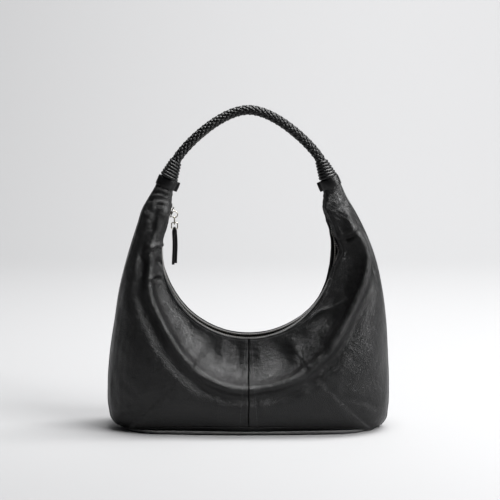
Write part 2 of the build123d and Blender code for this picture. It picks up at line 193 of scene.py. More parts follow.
class Finish:
    """A node material that is built up step by step."""

    def __init__(self, name, colour, roughness, metallic=0.0, **sockets):
        self.material = bpy.data.materials.new(name)
        self.material.use_nodes = True
        self.tree = self.material.node_tree
        self.shader = self.tree.nodes["Principled BSDF"]
        self.shader.inputs["Base Color"].default_value = (*colour, 1)
        self.shader.inputs["Roughness"].default_value = roughness
        self.shader.inputs["Metallic"].default_value = metallic
        for socket, value in sockets.items():
            self.shader.inputs[socket.replace("_", " ")].default_value = value
        self.place = self.tree.nodes.new("ShaderNodeTexCoord").outputs["Object"]
        self.normal = None

    def node(self, kind, **inputs):
        """A node with its inputs set, or linked where the value is a socket."""
        made = self.tree.nodes.new(kind)
        for socket, value in inputs.items():
            target = made.inputs[socket.replace("_", " ")]
            if isinstance(value, bpy.types.NodeSocket):
                self.tree.links.new(value, target)
            else:
                target.default_value = value
        return made

    def noise(self, scale, detail=3.0, rough=0.5):
        """A noise pattern at a scale per metre."""
        made = self.node("ShaderNodeTexNoise", Vector=self.place, Scale=scale, Detail=detail, Roughness=rough)
        return made.outputs["Fac"]

    def cells(self, scale, place):
        """Cell edges at a scale per metre: 0 in the creases, 1 on the pebbles."""
        made = self.node("ShaderNodeTexVoronoi", Vector=place, Scale=scale)
        made.feature = "DISTANCE_TO_EDGE"
        return self.ramp(made.outputs["Distance"], 0.0, 0.22, 0.0, 1.0)

    def ramp(self, value, low, high, to_low, to_high):
        """A value moved from one range to another."""
        made = self.node(
            "ShaderNodeMapRange", Value=value, From_Min=low, From_Max=high, To_Min=to_low, To_Max=to_high,
        )
        return made.outputs["Result"]

    def bump(self, height, strength, distance):
        """Adds a bump on top of the bumps so far."""
        made = self.node("ShaderNodeBump", Height=height, Strength=strength, Distance=distance)
        if self.normal:
            self.tree.links.new(self.normal, made.inputs["Normal"])
        self.normal = made.outputs["Normal"]
        self.tree.links.new(self.normal, self.shader.inputs["Normal"])

    def roughness(self, value, low, high):
        """Roughness that follows a pattern."""
        self.tree.links.new(self.ramp(value, 0.3, 0.7, low, high), self.shader.inputs["Roughness"])

    def colours(self, value, low_colour, high_colour, low=0.3, high=0.7):
        """Colour that follows a pattern."""
        made = self.node("ShaderNodeValToRGB", Fac=value)
        made.color_ramp.elements[0].position = low
        made.color_ramp.elements[0].color = (*low_colour, 1)
        made.color_ramp.elements[1].position = high
        made.color_ramp.elements[1].color = (*high_colour, 1)
        self.tree.links.new(made.outputs["Color"], self.shader.inputs["Base Color"])


def leather(name, grain, gloss_low, gloss_high, strength=0.65, dark=0.002, light=0.005):
    """Black leather: warped pebbles, fine pores and a gloss that wanders."""
    finish = Finish(name, (0.016, 0.016, 0.017), 0.4)
    finish.shader.inputs["Specular IOR Level"].default_value = 0.36
    warp = finish.node("ShaderNodeTexNoise", Vector=finish.place, Scale=grain * 0.35, Detail=2.0)
    mixed = finish.node("ShaderNodeVectorMath")
    mixed.operation = "MULTIPLY_ADD"
    finish.tree.links.new(warp.outputs["Color"], mixed.inputs[0])
    mixed.inputs[1].default_value = (1.6 / grain, 1.6 / grain, 1.6 / grain)
    finish.tree.links.new(finish.place, mixed.inputs[2])
    pebbles = finish.cells(grain, mixed.outputs["Vector"])
    finish.bump(finish.noise(grain * 0.16, 4.0, 0.6), strength * 0.6, 0.0007)
    finish.bump(pebbles, strength, 0.0006)
    finish.bump(finish.noise(grain * 3.0, 2.0), strength * 0.4, 0.00012)
    finish.roughness(finish.noise(14.0, 5.0, 0.6), gloss_low, gloss_high)
    finish.colours(finish.noise(22.0, 4.0), (dark, dark, dark * 1.06), (light, light, light * 1.05))
    return finish.material


def metal(name, colour, roughness):
    """Plated metal with fine handling marks."""
    finish = Finish(name, colour, roughness, metallic=1.0)
    finish.roughness(finish.noise(260.0, 4.0, 0.6), roughness * 0.7, roughness * 1.5)
    finish.bump(finish.noise(900.0, 2.0), 0.06, 0.0001)
    return finish.material


def cloth(name, dark, light, threads):
    """Woven cloth: two crossed sets of fine ribs."""
    finish = Finish(name, dark, 0.85)
    for direction in ("X", "Z"):
        ribs = finish.node("ShaderNodeTexWave", Vector=finish.place, Scale=threads, Distortion=0.4)
        ribs.bands_direction = direction
        finish.bump(ribs.outputs["Fac"], 0.3, 0.0002)
    finish.colours(finish.noise(140.0, 3.0), dark, light)
    finish.shader.inputs["Sheen Weight"].default_value = 0.25
    return finish.material


bag_leather = leather("bag_leather", 520.0, 0.29, 0.40, strength=0.48)
strap_leather = leather("strap_leather", 1500.0, 0.24, 0.34, strength=0.15)
thread_finish = cloth("thread", (0.012, 0.012, 0.013), (0.03, 0.03, 0.032), 1500.0)
tape_finish = cloth("zip_tape_weave", (0.012, 0.012, 0.013), (0.026, 0.026, 0.028), 900.0)
lining_finish = cloth("lining_weave", (0.016, 0.016, 0.018), (0.035, 0.034, 0.036), 600.0)
board_finish = cloth("board_fibre", (0.03, 0.03, 0.03), (0.06, 0.06, 0.06), 200.0)
# The rope core is painted very dark as painted shade, so the gaps between the plaited strands read as shade.
rope_painted_shade_finish = cloth("rope_fibre_painted_shade", (0.030, 0.028, 0.024), (0.060, 0.056, 0.048), 700.0)
teeth_metal = metal("teeth_metal", (0.60, 0.58, 0.54), 0.34)
pull_metal = metal("pull_metal", (0.46, 0.43, 0.37), 0.22)
print("finishes:", len(bpy.data.materials))

# %% [markdown]
# ## The form of the bag
# Each station along the mouth is one slice of leather, from the lip to the outer edge. The table gives the
# shape of a slice at a few stations, and smooth curves fill in the rest. The outer edge follows the bag's
# outline, which is a little different on the left and the right, as a soft bag is.

# %% Slices of the body
MOUTH_LENGTH = MOUTH_RADIUS * ZIP_SWEEP
# station, outer height, half depth, lip, roundness of a neck
SLICES = np.array([
    (0.0, -22.0, 62.5, 22.0, 0.0),
    (26.0, -16.0, 62.0, 22.0, 0.0),
    (44.0, -2.0, 61.0, 22.0, 0.0),
    (60.0, 28.0, 60.0, 22.0, 0.0),
    (80.0, 80.0, 57.0, 21.5, 0.0),
    (107.0, 130.0, 50.0, 20.0, 0.0),
    (139.0, 178.0, 41.0, 17.0, 0.15),
    (171.0, 222.0, 33.0, 14.0, 0.5),
    (203.0, 262.0, 24.5, 10.5, 0.8),
    (241.0, 299.0, 16.0, 7.0, 1.0),
    (249.0, 311.0, 12.5, 3.5, 1.0),
    (261.0, 328.0, 8.8, 1.6, 1.0),
    (270.0, 335.8, 8.3, 1.6, 1.0),
])
MOUTH_END_EASE = 3.0                   # how far the leather gives way where the mouth ends
# station, x and height of the inner edge of a neck
NECK_INNER = np.array([
    (241.0, 97.8, 298.8), (249.0, 98.6, 306.0), (261.0, 99.2, 318.5), (270.0, 97.6, 326.2),
])
# height, and how far out the outline reaches on the right and on the left
OUTLINE_HEIGHTS, OUTLINE_RIGHT, OUTLINE_LEFT = np.array([
    (-22.0, 0.0, 0.0), (-16.0, 120.0, 118.0), (-2.0, 174.0, 171.0), (4.0, 181.0, 179.0),
    (10.0, 185.5, 184.5), (25.0, 188.5, 188.8), (60.0, 189.5, 190.0), (105.0, 187.5, 186.5),
    (150.0, 184.5, 179.5), (190.0, 179.0, 173.0), (233.0, 169.0, 162.0), (277.0, 151.0, 148.0),
    (299.0, 139.0, 140.5), (311.0, 131.5, 133.5), (328.0, 123.6, 123.6), (335.8, 120.2, 120.2),
]).T
# The round outline of a neck: share of a slice, share of its depth.
ROUND_OUTLINE = np.array([
    (0.0, 0.0), (0.10, 0.60), (0.20, 0.84), (0.32, 0.95), (0.42, 0.985), (0.53, 1.0), (0.60, 0.98),
    (0.68, 0.94), (0.80, 0.80), (0.90, 0.60), (0.97, 0.34), (1.0, 0.0),
])
CREST = 0.52                           # share of a soft slice at which its long fold stands
LONG_FOLD = [
    (-112, 314), (-115, 298), (-119, 284), (-122, 267), (-128, 254), (-131, 243), (-128, 231), (-129, 217),
    (-132, 202), (-128, 181), (-119, 162), (-106, 138),
    (-84, 106), (-59, 82), (-29, 67), (-4, 64), (16, 66),
    (40, 70), (65, 82), (90, 101), (114, 126), (132, 160), (147, 190), (155, 212), (158, 232), (153, 254),
    (139, 272), (131, 292), (130, 310),
]
BACK_LONG_FOLD = [
    (-136, 286), (-150, 230), (-146, 170), (-118, 112),
    (-72, 70), (-20, 54), (30, 56), (80, 80), (122, 124),
    (146, 180), (150, 230), (136, 286),
]
# How far a lip stands away from the mouth's circle on the right: station, millimetres.
FRONT_SAG = np.array([
    (0.0, 0.0), (120.0, 0.0), (144.0, -2.0), (161.0, -1.0),
    (171.0, 3.0), (180.0, 6.5), (191.0, 3.5), (207.0, 0.0),
    (225.0, -1.5), (241.0, -3.0), (255.0, -1.5), (270.0, 0.0),
])
BACK_SAG = np.array([
    (0.0, 0.0), (115.0, 0.0), (150.0, -3.5), (183.0, -4.5),
    (211.0, -3.8), (241.0, -3.5), (255.0, -1.5), (270.0, 0.0),
])


def bell(distance, width):
    """A smooth hill of height one."""
    return np.exp(-(distance / width) ** 2)


def mouth_edge(station):
    """The mouth's edge at a station, as x and z on the right side."""
    turn = np.minimum(station, MOUTH_LENGTH) / MOUTH_RADIUS
    x = MOUTH_RADIUS * np.sin(turn)
    z = MOUTH_HEIGHT - MOUTH_RADIUS * np.cos(turn)
    on_neck = station > NECK_INNER[0, 0]
    neck_x = through(NECK_INNER[:, 1], NECK_INNER[:, 0], station)
    neck_z = through(NECK_INNER[:, 2], NECK_INNER[:, 0], station)
    ease = MOUTH_END_EASE * bell(station - NECK_INNER[0, 0], 14.0)
    return np.where(on_neck, neck_x, x) + ease, np.where(on_neck, neck_z, z)


def slice_values(station):
    """Outer height, half depth, lip and roundness at the stations."""
    return [through(SLICES[:, column], SLICES[:, 0], station) for column in (1, 2, 3, 4)]


def outline_reach(side, height):
    """How far out the bag's outline is at a height."""
    return through(OUTLINE_RIGHT if side > 0 else OUTLINE_LEFT, OUTLINE_HEIGHTS, height)


def slice_length(station, side):
    """The straight length of a slice, from the mouth's edge to the outline."""
    inner_x, inner_z = mouth_edge(station)
    outer_z = slice_values(station)[0]
    return np.hypot(outline_reach(side, outer_z) - inner_x, outer_z - inner_z)


def path_points(points, count=36):
    """A smooth path through a few points."""
    points = np.asarray(points, float)
    steps = np.concatenate([[0], np.cumsum(np.linalg.norm(np.diff(points, axis=0), axis=1))])
    wanted = np.linspace(0, steps[-1], count)
    return np.stack([through(points[:, 0], steps, wanted), through(points[:, 1], steps, wanted)], axis=1)


def to_path(x, z, path):
    """Signed distance to a path, positive on the left of its direction, and how far along it, 0 to 1."""
    best = np.full(x.shape, 1e9)
    side = np.zeros(x.shape)
    share = np.zeros(x.shape)
    last = len(path) - 1
    for index, (start, end) in enumerate(zip(path, path[1:])):
        step = end - start
        length = np.linalg.norm(step)
        along = np.clip(((x - start[0]) * step[0] + (z - start[1]) * step[1]) / length ** 2, 0, 1)
        off_x, off_z = x - start[0] - along * step[0], z - start[1] - along * step[1]
        distance = np.hypot(off_x, off_z)
        nearer = distance < best
        best = np.where(nearer, distance, best)
        side = np.where(nearer, np.sign(step[0] * off_z - step[1] * off_x), side)
        share = np.where(nearer, (index + along) / last, share)
    return best * side, share


def lip_sag(station, side, face):
    """How far the lip stands away from the mouth's circle."""
    if side < 0:
        return 0.0 * station
    table = FRONT_SAG if face < 0 else BACK_SAG
    return through(table[:, 1], table[:, 0], station)


def crest_shares(side, face):
    """The share of a slice at which it crosses the long fold, at even stations."""
    places = np.linspace(0, MOUTH_LENGTH, 60)
    station, share = np.meshgrid(places, np.linspace(0.15, 0.85, 71), indexing="ij")
    inner_x, inner_z = mouth_edge(station)
    outer_z = slice_values(station)[0]
    outer_x = outline_reach(side, outer_z)
    x = side * (inner_x + (outer_x - inner_x) * share)
    z = inner_z + (outer_z - inner_z) * share
    distance = to_path(x, z, path_points(LONG_FOLD if face < 0 else BACK_LONG_FOLD, 60))[0]
    crossing = share[0][np.abs(distance).argmin(axis=1)]
    padded = np.pad(crossing, 4, mode="edge")
    return station[:, 0], np.convolve(padded, np.ones(9) / 9, mode="valid")


CREST_SHARES = {(side, face): crest_shares(side, face) for side in (-1, 1) for face in (-1, 1)}


def soft_outline(share):
    """The hanging outline of the body: a hollow rise to the crest, then a round fall to the outer edge."""
    rise_share = share / CREST
    rise = 0.38 * rise_share + 0.62 * rise_share ** 2.3
    fall_share = np.clip((share - 0.5) / 0.5, 0, 1)
    fall = (1 - fall_share ** 2.5) ** 0.6
    blend = 0.045
    lower = -blend * np.log(np.exp(-rise / blend) + np.exp(-fall / blend))
    return np.clip(lower, 0, 1) * np.clip((1 - share) / 0.02, 0, 1) ** 0.5


def form(station, share, side, face):
    """Points of the plain outer surface. side is -1 left or 1 right, face is -1 front or 1 back."""
    inner_x, inner_z = mouth_edge(station)
    outer_z, depth, lip, roundness = slice_values(station)
    outer_x = outline_reach(side, outer_z)
    inner_x = inner_x + lip_sag(station, side, face)
    known, crossing = CREST_SHARES[side, face]
    crest = np.interp(station, known, crossing)
    before = share * CREST / crest
    beyond = CREST + (share - crest) * (1 - CREST) / (1 - crest)
    even = np.where(share < crest, before, beyond)
    soft = soft_outline(even)
    full = through(ROUND_OUTLINE[:, 1], ROUND_OUTLINE[:, 0], share)
    bulge = soft + (full - soft) * roundness
    edge_fade = np.clip(1 - share, 0, 1) ** 2
    y = depth * bulge + lip * edge_fade * (1 - bulge)
    x = inner_x + (outer_x - inner_x) * share
    z = inner_z + (outer_z - inner_z) * share
    return np.stack([side * x, face * y, z], axis=-1)


print("slices:", len(SLICES))

# %% [markdown]
# ## Folds
# Soft leather hangs from the two necks, so one long fold runs round under the mouth, and small creases
# start where it is gathered. A fold is a line drawn on the front view, with a width and a height. The
# leather rises or sinks along it, and the fold dies out at both ends.

# %% Fold lines of the front and the back
# points, width, height, kind: "ridge" rises or sinks, "fold" rises on one side and sinks on the other
FRONT_CREASES = [
    ([(-133, 318), (-118, 321), (-102, 314)], 2.6, 1.7, "fold"),
    ([(-135, 310), (-118, 314), (-102, 307)], 2.8, 1.6, "fold"),
    ([(-128, 302), (-116, 306), (-103, 300)], 2.6, 1.1, "fold"),
    ([(-138, 241), (-130, 245), (-121, 249), (-106, 243)], 3.4, 4.2, "fold"),
    ([(-126, 235), (-118, 229), (-110, 222)], 3.6, -3.4, "ridge"),
    ([(-134, 202), (-124, 209), (-112, 206)], 3.4, 2.6, "fold"),
    ([(-117, 226), (-106, 204), (-99, 184), (-100, 158)], 3.0, 1.3, "ridge"),
    ([(-106, 312), (-109, 290), (-109, 270), (-107, 250)], 5.0, 2.6, "ridge"),
    ([(-121, 306), (-124, 284), (-128, 262), (-136, 244)], 6.0, -3.4, "ridge"),
    ([(-134, 250), (-147, 230), (-157, 197), (-170, 166)], 5.0, 1.5, "ridge"),
    ([(-144, 272), (-148, 228), (-144, 194), (-132, 166)], 5.0, 1.6, "ridge"),
    ([(-150, 150), (-154, 110), (-146, 70)], 12.0, 1.5, "ridge"),
    ([(-60, 138), (-64, 112), (-58, 86)], 8.0, 1.3, "ridge"),
    ([(-34, 132), (-36, 104), (-31, 74)], 7.0, 1.6, "ridge"),
    ([(-15, 126), (-14, 96), (-13, 70)], 7.0, -2.4, "ridge"),
    ([(14, 124), (15, 96), (13, 72)], 6.0, 1.2, "ridge"),
    ([(34, 128), (42, 102), (44, 78)], 12.0, -3.0, "ridge"),
    ([(56, 132), (62, 108), (58, 88)], 7.0, 1.8, "ridge"),
    ([(76, 126), (78, 146), (90, 159), (112, 169), (130, 179), (148, 194)], 2.9, 2.0, "ridge"),
    ([(84, 128), (96, 146), (122, 158), (142, 170)], 9.0, -2.0, "ridge"),
    ([(118, 214), (132, 220), (146, 236)], 8.0, -1.6, "ridge"),
    ([(112, 258), (128, 262), (146, 273)], 4.6, 3.4, "fold"),
    ([(108, 306), (118, 292), (126, 268), (134, 246), (140, 220)], 9.0, -3.6, "ridge"),
    ([(150, 146), (160, 110), (164, 70)], 12.0, 1.6, "ridge"),
    ([(-182, 16), (-158, 30), (-128, 34)], 6.0, 1.3, "fold"),
    ([(181, 18), (156, 40), (124, 48)], 6.0, 1.3, "fold"),
    ([(-170, 84), (-130, 62), (-96, 58)], 10.0, 1.0, "ridge"),
    ([(176, 84), (150, 60), (118, 58)], 10.0, 1.0, "ridge"),
    ([(-60, 34), (-20, 28), (20, 30), (70, 38)], 10.0, -1.0, "ridge"),
]
BACK_CREASES = [
    ([(-116, 318), (-124, 286), (-130, 240)], 7.0, 2.2, "ridge"),
    ([(116, 318), (126, 282), (132, 236)], 7.0, 2.2, "ridge"),
    ([(-130, 308), (-146, 260), (-156, 214)], 8.0, -1.8, "ridge"),
    ([(130, 308), (148, 256), (158, 210)], 8.0, -1.8, "ridge"),
    ([(-110, 206), (-132, 176), (-160, 158)], 7.0, 2.0, "fold"),
    ([(108, 200), (128, 176), (156, 164)], 7.0, 2.0, "fold"),
    ([(-80, 158), (-92, 126), (-88, 98)], 9.0, 1.8, "ridge"),
    ([(-40, 134), (-44, 104), (-36, 76)], 9.0, -1.8, "ridge"),
    ([(36, 132), (44, 102), (40, 76)], 10.0, 1.8, "ridge"),
    ([(78, 156), (90, 124), (94, 96)], 9.0, -1.8, "ridge"),
    ([(-178, 22), (-150, 40), (-116, 44)], 7.0, 1.6, "fold"),
    ([(178, 22), (150, 40), (116, 44)], 7.0, 1.6, "fold"),
]


def crease_height(x, z, crease):
    """How far one crease lifts the leather."""
    points, width, height, kind = crease
    distance, share = to_path(x, z, path_points(points, 16))
    near = bell(np.maximum(np.abs(distance) - 3 * width, 0), width)
    fade = np.clip(4 * share * (1 - share), 0, 1) ** 1.5 * near
    if kind == "ridge":
        return height * fade * bell(distance, width)
    rise = bell(distance - 0.55 * width, width)
    sink = bell(distance + 0.55 * width, 0.8 * width)
    return height * fade * (rise - sink)


def waves(x, y, z, length, seed, count=7, stretch=(1, 1, 1)):
    """Smooth random unevenness of about one length, between -1 and 1."""
    random = np.random.default_rng(seed)
    total = np.zeros(x.shape)
    for _ in range(count):
        direction = random.normal(size=3)
        scale = np.asarray(stretch) * random.uniform(0.6, 1.5) / np.linalg.norm(direction)
        direction *= scale * 2 * math.pi / length
        bend = random.normal(size=3) * 2 * math.pi / (2.7 * length)
        phase = random.uniform(0, 2 * math.pi) + 1.3 * np.sin(x * bend[0] + y * bend[1] + z * bend[2])
        total += np.sin(x * direction[0] + y * direction[1] + z * direction[2] + phase)
    return total / count ** 0.5 / 1.6


# Height and length of the leather's unevenness, from large to small.
SWELL, SWELL_LENGTH = 1.1, 58
RIPPLE, RIPPLE_LENGTH = 0.45, 23
DIMPLE, DIMPLE_LENGTH = 0.16, 8.5
GATHER, GATHER_LENGTH = 0.7, 10        # only near a neck's top, between two heights
GATHER_FOOT, GATHER_TOP = 262, 332
PUCKER, PUCKER_LENGTH = 0.14, 9.3      # only beside the centre seam


def leather_height(points, face):
    """How far the leather stands out from the plain form, in millimetres."""
    x, y, z = points[..., 0], points[..., 1], points[..., 2]
    long_fold = path_points(LONG_FOLD if face < 0 else BACK_LONG_FOLD, 60)
    distance, share = to_path(x, z, long_fold)
    fade = np.clip(share / 0.12, 0, 1) * np.clip((1 - share) / 0.12, 0, 1)
    crest = 4.2 * bell(distance, 5.6)
    hollow = 2.6 * bell(distance - 24, 14)
    groove = 5.4 * bell(distance + 13, 9)
    height = fade * (crest - hollow - groove)
    for crease in (FRONT_CREASES if face < 0 else BACK_CREASES):
        height += crease_height(x, z, crease)
    low = np.clip(z / 30, 0, 1)
    swell = SWELL * waves(x, y, z, SWELL_LENGTH, 11 + face)
    ripple = RIPPLE * waves(x, y, z, RIPPLE_LENGTH, 5 + face)
    height += low * (swell + ripple)
    height += low * DIMPLE * waves(x, y, z, DIMPLE_LENGTH, 23 + face)
    gather = np.clip((z - GATHER_FOOT) / 30, 0, 1) * np.clip((GATHER_TOP - z) / 12, 0, 1)
    height += gather * GATHER * waves(x, y, z, GATHER_LENGTH, 31 + face, stretch=(0.45, 0.3, 1.5))
    pucker = bell(x, 9.0) * np.clip((z - 6) / 10, 0, 1)
    height += pucker * PUCKER * np.sin(2 * math.pi * z / PUCKER_LENGTH + 1.6 * np.sin(z / 9))
    return height * np.clip((340 - z) / 18, 0.15, 1)


print("folds:", len(FRONT_CREASES) + len(BACK_CREASES) + 2)

# %% [markdown]
# ## Leather panels
# The bag is sewn from two front panels, two back panels and a boat-shaped base. Each panel is one shell of
# leather 1.8 mm thick. Its edges roll inwards at a seam, which is what makes a real seam read as a groove.

# %% The leather surface
LEATHER = 1.8
SEAM_ROLL = 1.7
SIDE_SEAM = 0.010                      # share of a slice between the side seam and the outer edge
BASE_SEAM_HEIGHT = 12.0
BASE_SEAM_REACH = 186.0
FLOOR_SOFTNESS = 2.2
STATION_END = 270.0


def on_floor(points):
    """Flattens what would hang below the floor, with a soft corner."""
    flat = points.copy()
    flat[..., 2] = (points[..., 2] + np.sqrt(points[..., 2] ** 2 + FLOOR_SOFTNESS ** 2)) / 2
    return flat


def leather_points(station, share, side, face):
    """The finished outer surface. A share above 1 goes round the outer edge onto the other face."""
    past = share > 1
    plain = form(station, np.where(past, 2 - share, share), side, face)
    plain[..., 1] = np.where(past, -plain[..., 1], plain[..., 1])
    normals = grid_normals(plain)
    if np.sum(normals[..., 1] * face) < 0:
        normals = -normals
    height = leather_height(plain, face)
    edge = np.clip((1 - np.minimum(share, 2 - share)) / 0.06, 0.0, 1)
    return on_floor(plain + normals * (height * edge)[..., None])


def seam_share(station, side):
    """The share of a slice where the base seam crosses it, or 1 where the slice misses the base."""
    shares = np.linspace(0.5, 1, 300)
    station_grid, share_grid = np.meshgrid(station, shares, indexing="ij")
    points = form(station_grid, share_grid, side, -1)
    seam = BASE_SEAM_HEIGHT * np.clip(1 - (points[..., 0] / BASE_SEAM_REACH) ** 2, 0, 1) ** 0.8
    below = points[..., 2] < seam
    first = np.where(below.any(axis=1), below.argmax(axis=1), len(shares) - 1)
    return shares[first]


def stations(start, end, step, dense_start=True):
    """Stations with a few extra close to a seam."""
    near = [0.0, 0.35, 0.7, 1.1, 1.7, 2.5, 3.5] if dense_start else [0.0]
    rest = np.arange(near[-1] + step, end - start, step)
    return start + np.concatenate([near, rest, [end - start]])


def roll_depth(distance, radius):
    """How deep an edge is turned in at a distance from it."""
    near = np.clip(1 - distance / radius, 0, 1)
    return radius * (1 - np.sqrt(1 - near ** 2))


def edge_distance(points, axis, last):
    """Distance of each grid point from the first or last line of the grid."""
    steps = np.linalg.norm(np.diff(points, axis=axis), axis=2)
    zero = np.zeros((points.shape[0], 1) if axis == 1 else (1, points.shape[1]))
    if last:
        run = np.flip(np.cumsum(np.flip(steps, axis), axis=axis), axis)
        return np.concatenate([run, zero], axis=axis)
    return np.concatenate([zero, np.cumsum(steps, axis=axis)], axis=axis)


def shell_from(points, outside, rolls, thickness=LEATHER):
    """Outer and inner grids of a panel. rolls gives, for each edge, its roll radius."""
    normals = grid_normals(points)
    if np.sum(normals * outside) < 0:
        normals = -normals
    sink = np.zeros(points.shape[:2])
    for (axis, last), radius in rolls.items():
        sink = np.maximum(sink, roll_depth(edge_distance(points, axis, last), radius))
    outer = points - normals * sink[..., None]
    rim = np.maximum(sink, thickness)
    inner = points - normals * (thickness + 0.35 * np.maximum(rim - thickness, 0))[..., None]
    inner -= normals * (0.25 * sink)[..., None]
    return outer, inner


def fine_shares(count):
    """Shares from 0 to 1, closer together at both ends."""
    even = np.linspace(0, 1, count)
    return even - 0.115 * np.sin(2 * math.pi * even)


def wall_panel(name, side, face, columns):
    """One of the four panels of the wall."""
    station = stations(0.0, STATION_END, 1.45)
    base_share = seam_share(station, side)
    reach = np.minimum(base_share, 1 - SIDE_SEAM if face < 0 else 1.0)
    if face > 0:
        reach = np.where(base_share > 0.995, 1 + SIDE_SEAM, base_share)
    share = fine_shares(columns)[None, :] * reach[:, None]
    station_grid = np.repeat(station[:, None], columns, axis=1)
    points = leather_points(station_grid, share, side, face)
    rolls = {(0, False): SEAM_ROLL, (1, True): SEAM_ROLL, (1, False): 0.9}
    outer, inner = shell_from(points, np.array([0, face, 0]), rolls)
    return shell_object(name, outer, inner, bag_leather)


QUARTERS = {}
for side_name, side in SIDES.items():
    for face_name, face in FACES.items():
        quarter = f"{face_name}_{side_name}"
        QUARTERS[quarter] = wall_panel(f"{quarter}_leather", side, face, 150)
        print(quarter, "faces:", len(QUARTERS[quarter].data.polygons))

# %% [markdown]
# The base is one piece that wraps up a little at the front and the back, widest in the middle and pointed
# at the corners, as the bottom of a boat is.

# %% The base


def base_piece():
    """The base, as one shell from its front seam to its back seam."""
    right = np.arange(0.0, 60.0, 1.2)
    reach = seam_share(right, 1)
    right = right[reach < 0.985]
    lines = []
    for side, station in ((-1, right[::-1]), (1, right[1:])):
        reach = seam_share(station, side)
        across = np.linspace(0, 1, 60)
        front = reach[:, None] + (1 - reach[:, None]) * across[None, :]
        grid = np.repeat(station[:, None], 60, axis=1)
        front_points = form(grid, front, side, -1)
        back_points = form(grid[:, 1:], front[:, ::-1][:, 1:], side, 1)
        lines.append(np.concatenate([front_points, back_points], axis=1))
    points = on_floor(np.concatenate(lines, axis=0))
    rolls = {(1, False): SEAM_ROLL, (1, True): SEAM_ROLL, (0, False): 1.0, (0, True): 1.0}
    outer, inner = shell_from(points, np.array([0, 0, -1]), rolls)
    return shell_object("base_leather", outer, inner, bag_leather)


base_leather = base_piece()
print("base faces:", len(base_leather.data.polygons))

# %% [markdown]
# ## Lining and facings
# Inside the leather hang a cloth lining and, next to the mouth, a facing of thin leather that the zip tapes
# are sewn to. They follow the same slices, further in and shallower, to stay clear
# of the leather where it sinks in.

# %% Inner layers


LAYER_SLACK = 0.84                     # a layer inside is this much shallower than the leather
LAYER_FOLLOW = 1.2                     # how closely it follows the leather where that sinks in
LAYER_GAP = 1.4
LAYER_FLOOR = 3.2
LAYER_POINTS = 48


def inner_layer(name, face, near, thickness, start, end, material):
    """A layer inside the bag, from one length down the slices to another, as shares of a slice."""
    half = stations(0.0, MOUTH_LENGTH - 2.0, 4.0, dense_start=False)
    lines = []
    for side, station in ((-1, half[::-1]), (1, half[1:])):
        length = slice_length(station, side)
        low = start / length
        high = np.minimum(end / length, 1 - near / length)
        share = low[:, None] + (high - low)[:, None] * np.linspace(0, 1, LAYER_POINTS)[None, :]
        grid = np.repeat(station[:, None], LAYER_POINTS, axis=1)
        plain = form(grid, share, side, face)
        plain[..., 1] += face * np.minimum(leather_height(plain, face), 0) * LAYER_FOLLOW
        plain[..., 0] *= 1 - near / HALF_WIDTH
        lines.append(plain)
    points = np.concatenate(lines, axis=0)
    points[..., 1] = face * np.maximum(face * points[..., 1] * LAYER_SLACK - near - LAYER_GAP, 0.2)
    points[..., 2] = np.maximum(points[..., 2], near + LAYER_FLOOR)
    outer, inner = shell_from(points, np.array([0, face, 0]), {}, thickness)
    return shell_object(name, outer, inner, material)


# node, end of the piece's name, distance in, thickness, start and end down a slice, finish
LAYERS = [
    ("facing", "skin", 1.9, 0.7, 2.4, 25.0, bag_leather),
    ("lining", "cloth", 3.0, 0.6, 22.0, 999.0, lining_finish),
]
INNER = {}
for face_name, face in FACES.items():
    for kind, ending, *sizes in LAYERS:
        node = f"{face_name}_{kind}"
        INNER[node] = inner_layer(f"{node}_{ending}", face, *sizes)
print("inner layers:", list(INNER))

# %% [markdown]
# ## Zip tapes
# A zip tape is a narrow woven ribbon. It lies on the mouth's circle, so its surface is part of a cylinder,
# and its inner edge follows the row of teeth as the zip opens towards the middle.

# %% Tapes
TOOTH_GAP_END = 2.3
TOOTH_GAP_MIDDLE = 12.0
TAPE_DEPTH = 1.4
# How far the front row stands away from its circle on the right: station, millimetres.
TEETH_SAG = np.array([
    (0.0, 0.0), (158.0, 0.0), (171.0, 2.0), (180.0, 4.4),
    (191.0, 1.2), (203.0, -1.4), (211.0, -0.6), (216.0, 0.0),
    (241.0, 0.0),
])
TAPE_THICKNESS = 0.6


def tooth_gap(turn):
    """Middle plane to the middle of a tooth, at an angle round the mouth."""
    share = np.cos(0.5 * math.pi * turn / ZIP_SWEEP) ** 2
    return TOOTH_GAP_END + (TOOTH_GAP_MIDDLE - TOOTH_GAP_END) * share


def mouth_point(turn, y, depth):
    """Points round the mouth, at an angle, a place across and a depth below the mouth's circle."""
    radius = MOUTH_RADIUS + depth
    station = np.abs(turn) * MOUTH_RADIUS
    sag = np.where((turn > 0) & (y < 0), through(TEETH_SAG[:, 1], TEETH_SAG[:, 0], station), 0.0)
    x = radius * np.sin(turn) + sag
    z = MOUTH_HEIGHT - radius * np.cos(turn)
    return np.stack([x, y + 0 * turn, z], axis=-1)


def tape_piece(name, face):
    """One tape, from under its lip to the edge in the teeth."""
    turn = np.linspace(-ZIP_SWEEP, ZIP_SWEEP, 181)[:, None]
    lip = slice_values(np.abs(turn) * MOUTH_RADIUS)[2]
    near = tooth_gap(turn) + 0.9
    far = np.maximum(lip - LEATHER - 0.2, near + 1.2)
    across = np.linspace(0, 1, 9)[None, :]
    y = near + (far - near) * across
    outer = mouth_point(turn + 0 * across, face * y, TAPE_DEPTH - TAPE_THICKNESS / 2)
    inner = mouth_point(turn + 0 * across, face * y, TAPE_DEPTH + TAPE_THICKNESS / 2)
    return shell_object(name, outer, inner, tape_finish)


TAPES = {f"{name}_zip_tape": tape_piece(f"{name}_tape_ribbon", face) for name, face in FACES.items()}
print("tapes:", list(TAPES))

# %% [markdown]
# ## Repeated pieces with Geometry Nodes
# Stitches and zip teeth repeat along a path. One function builds a node tree for each, which places a small
# shape at even steps on a curve and turns it along the curve.

# %% Node tree helpers


